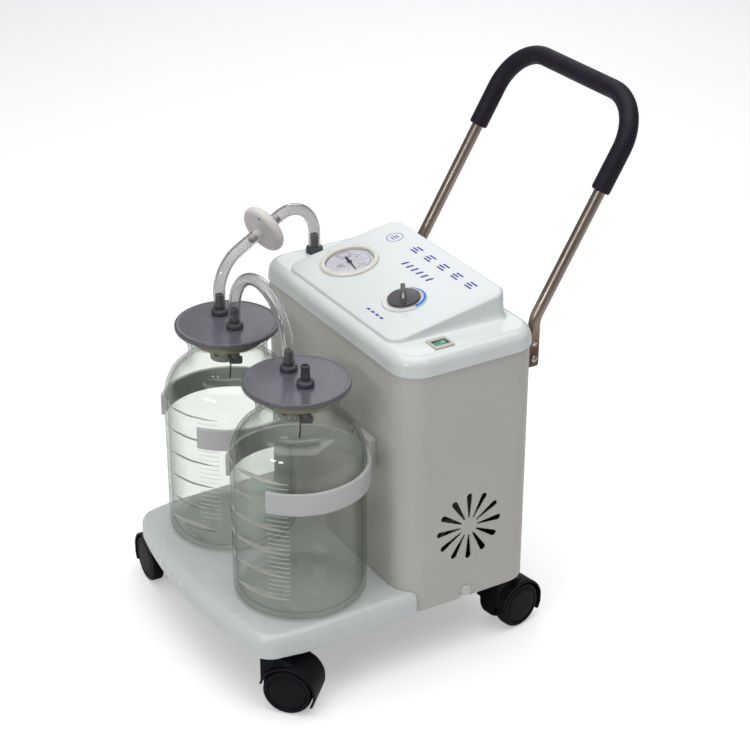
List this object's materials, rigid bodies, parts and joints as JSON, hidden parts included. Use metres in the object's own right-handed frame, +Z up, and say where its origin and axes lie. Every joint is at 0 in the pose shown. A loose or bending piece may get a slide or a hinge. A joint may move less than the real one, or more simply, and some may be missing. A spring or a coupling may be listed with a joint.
{
  "type": "suction pump",
  "caption": "Mobile suction pump with glass collection jars on a tray, a boxed diaphragm pump, vacuum gauge, regulator, push handle and swivel casters.",
  "frame": {"origin": "floor level under the middle of the whole outline, on the machine's left-right middle plane", "axes": "+X to the machine's right, +Y to the back where the handle stands, +Z up"},
  "size_m": [0.3418, 0.4767, 0.5504],
  "materials": {
    "tray_plastic": "moulded plastic, pale cool grey-white, satin gloss",
    "chassis_steel": "zinc-plated sheet",
    "housing_paint": "warm off-white powder coat",
    "cover_plastic": "glossy white moulded plastic with a cool tint",
    "clip_plastic": "white moulded plastic",
    "screw_steel": "bright plated steel",
    "white_screw_plastic": "white nylon",
    "dark_plastic": "dark grey moulded plastic",
    "gauge_body": "grey enamel",
    "dial_face": "matt lilac-white dial with printed scale",
    "gauge_glass": "clear flat lens",
    "cream_bezel": "cream-white bezel",
    "needle_black": "black enamel",
    "knob_grey": "dark grey moulded plastic",
    "brass": "machined brass",
    "switch_frame_plastic": "beige-white moulded plastic",
    "switch_green": "translucent green plastic",
    "handle_steel": "satin stainless tube",
    "bracket_steel": "dark steel",
    "foam_grip": "closed-cell foam, fine texture",
    "motor_metal": "grey cast and pressed motor parts",
    "bearing_steel": "ground bearing steel",
    "rotor_steel": "turned steel",
    "fan_plastic": "moulded nylon",
    "pump_aluminium": "cast aluminium",
    "diaphragm_rubber": "black rubber",
    "inner_hose": "red silicone hose",
    "jar_glass": "greenish moulded glass with white printed graduations",
    "lid_plastic": "slate-grey moulded plastic",
    "stopper_rubber": "yellowish rubber",
    "spigot_plastic": "dark grey moulded plastic",
    "cage_plastic": "translucent milky plastic",
    "float_plastic": "foamed plastic float",
    "clear_hose": "clear soft tube with a faint violet tint",
    "filter_plastic": "milky white welded plastic",
    "caster_plastic": "near-black moulded plastic",
    "wheel_tyre": "near-black moulded tread"
  },
  "bodies": {
    "chassis": {"base_tray": "tray_plastic", "chassis_plate": "chassis_steel", "base_screws": "screw_steel", "housing_shell": "housing_paint", "housing_screws": "white_screw_plastic", "top_cover": "cover_plastic", "bottle_clip_left": "clip_plastic", "bottle_clip_right": "clip_plastic", "clip_screws": "screw_steel", "vacuum_port": "dark_plastic", "gauge_case": "gauge_body", "gauge_dial": "dial_face", "gauge_lens": "gauge_glass", "gauge_bezel": "cream_bezel", "regulator_bezel": "cream_bezel", "regulator_valve": "brass", "switch_frame": "switch_frame_plastic", "handle_tube": "handle_steel", "handle_grip": "foam_grip", "handle_brackets": "bracket_steel", "handle_screws": "screw_steel", "power_inlet": "dark_plastic", "motor_stator": "motor_metal", "motor_bearings": "bearing_steel", "pump_crankcase": "pump_aluminium", "pump_diaphragm": "diaphragm_rubber", "pump_head": "pump_aluminium", "pump_mounts": "diaphragm_rubber", "internal_hoses": "inner_hose", "caster_stems": "chassis_steel"},
    "gauge_needle": {"gauge_needle": "needle_black"},
    "regulator_knob": {"regulator_knob": "knob_grey"},
    "switch_rocker": {"switch_rocker": "switch_green"},
    "motor_rotor": {"motor_rotor": "rotor_steel", "cooling_fan": "fan_plastic"},
    "pump_rod": {"pump_rod": "pump_aluminium"},
    "jar_left": {"bottle_left": "jar_glass"},
    "jar_right": {"bottle_right": "jar_glass"},
    "lid_set_left": {"lid_left": "lid_plastic", "lid_gasket_left": "stopper_rubber", "lid_spigots_left": "spigot_plastic", "float_cage_left": "cage_plastic"},
    "lid_set_right": {"lid_right": "lid_plastic", "lid_gasket_right": "stopper_rubber", "lid_spigots_right": "spigot_plastic", "float_cage_right": "cage_plastic"},
    "float_left": {"float_left": "float_plastic"},
    "float_right": {"float_right": "float_plastic"},
    "crossover": {"crossover_hose": "clear_hose"},
    "filter_line": {"filter_inlet_hose": "clear_hose", "bacterial_filter": "filter_plastic", "filter_outlet_hose": "clear_hose"},
    "caster_front_left": {"caster_hood_front_left": "caster_plastic"},
    "wheels_front_left": {"caster_wheels_front_left": "wheel_tyre"},
    "caster_front_right": {"caster_hood_front_right": "caster_plastic"},
    "wheels_front_right": {"caster_wheels_front_right": "wheel_tyre"},
    "caster_rear_left": {"caster_hood_rear_left": "caster_plastic"},
    "wheels_rear_left": {"caster_wheels_rear_left": "wheel_tyre"},
    "caster_rear_right": {"caster_hood_rear_right": "caster_plastic"},
    "wheels_rear_right": {"caster_wheels_rear_right": "wheel_tyre"}
  },
  "joints": [
    {"name": "gauge_needle_turn", "type": "hinge", "parent": "chassis", "child": "gauge_needle", "pos_m": [-0.061, -0.00635, 0.36082], "axis": [0, -0.1736, 0.9848], "range_deg": [0, 200]},
    {"name": "regulator_knob_turn", "type": "hinge", "parent": "chassis", "child": "regulator_knob", "pos_m": [0.0455, -0.00635, 0.36082], "axis": [0, -0.1736, 0.9848], "range_deg": [0, 270]},
    {"name": "switch_rocker_tilt", "type": "hinge", "parent": "chassis", "child": "switch_rocker", "pos_m": [0.1236, -0.01415, 0.3459], "axis": [1, 0, 0], "range_deg": [-16, 0]},
    {"name": "motor_spin", "type": "hinge", "parent": "chassis", "child": "motor_rotor", "pos_m": [0, 0.01465, 0.134], "axis": [1, 0, 0], "continuous": true},
    {"name": "rod_on_eccentric", "type": "hinge", "parent": "motor_rotor", "child": "pump_rod", "pos_m": [-0.084, 0.01465, 0.137], "axis": [1, 0, 0], "continuous": true},
    {"name": "jar_left_lift", "type": "slide", "parent": "chassis", "child": "jar_left", "axis": [0, 0, 1], "range_m": [0, 0.16]},
    {"name": "jar_right_lift", "type": "slide", "parent": "chassis", "child": "jar_right", "axis": [0, 0, 1], "range_m": [0, 0.16]},
    {"name": "lid_left_lift", "type": "slide", "parent": "jar_left", "child": "lid_set_left", "axis": [0, 0, 1], "range_m": [0, 0.08]},
    {"name": "lid_right_lift", "type": "slide", "parent": "jar_right", "child": "lid_set_right", "axis": [0, 0, 1], "range_m": [0, 0.08]},
    {"name": "float_left_rise", "type": "slide", "parent": "lid_set_left", "child": "float_left", "axis": [0, 0, 1], "range_m": [0, 0.0135]},
    {"name": "float_right_rise", "type": "slide", "parent": "lid_set_right", "child": "float_right", "axis": [0, 0, 1], "range_m": [0, 0.0135]},
    {"name": "crossover_pull_off", "type": "slide", "parent": "lid_set_left", "child": "crossover", "axis": [0, 0, 1], "range_m": [0, 0.03]},
    {"name": "filter_line_pull_off", "type": "slide", "parent": "lid_set_left", "child": "filter_line", "axis": [0, 0, 1], "range_m": [0, 0.03]},
    {"name": "caster_front_left_swivel", "type": "hinge", "parent": "chassis", "child": "caster_front_left", "pos_m": [-0.1256, -0.19985, 0.045], "axis": [0, 0, 1], "continuous": true},
    {"name": "wheels_front_left_roll", "type": "hinge", "parent": "caster_front_left", "child": "wheels_front_left", "pos_m": [-0.14056, -0.19883, 0.025], "axis": [-0.068, -0.9977, 0], "continuous": true},
    {"name": "caster_front_right_swivel", "type": "hinge", "parent": "chassis", "child": "caster_front_right", "pos_m": [0.1256, -0.19985, 0.045], "axis": [0, 0, 1], "continuous": true},
    {"name": "wheels_front_right_roll", "type": "hinge", "parent": "caster_front_right", "child": "wheels_front_right", "pos_m": [0.13621, -0.18924, 0.025], "axis": [-0.7071, 0.7071, 0], "continuous": true},
    {"name": "caster_rear_left_swivel", "type": "hinge", "parent": "chassis", "child": "caster_rear_left", "pos_m": [-0.1256, 0.06365, 0.045], "axis": [0, 0, 1], "continuous": true},
    {"name": "wheels_rear_left_roll", "type": "hinge", "parent": "caster_rear_left", "child": "wheels_rear_left", "pos_m": [-0.1331, 0.07664, 0.025], "axis": [-0.866, -0.5, 0], "continuous": true},
    {"name": "caster_rear_right_swivel", "type": "hinge", "parent": "chassis", "child": "caster_rear_right", "pos_m": [0.1256, 0.06365, 0.045], "axis": [0, 0, 1], "continuous": true},
    {"name": "wheels_rear_right_roll", "type": "hinge", "parent": "caster_rear_right", "child": "wheels_rear_right", "pos_m": [0.12299, 0.07842, 0.025], "axis": [-0.9848, -0.1736, 0], "continuous": true}
  ],
  "couplings": [
    {"joint": "rod_on_eccentric", "follows": "motor_spin", "ratio": -1},
    {"joint": "jar_right_lift", "follows": "jar_left_lift", "ratio": 1},
    {"joint": "lid_right_lift", "follows": "lid_left_lift", "ratio": 1}
  ]
}
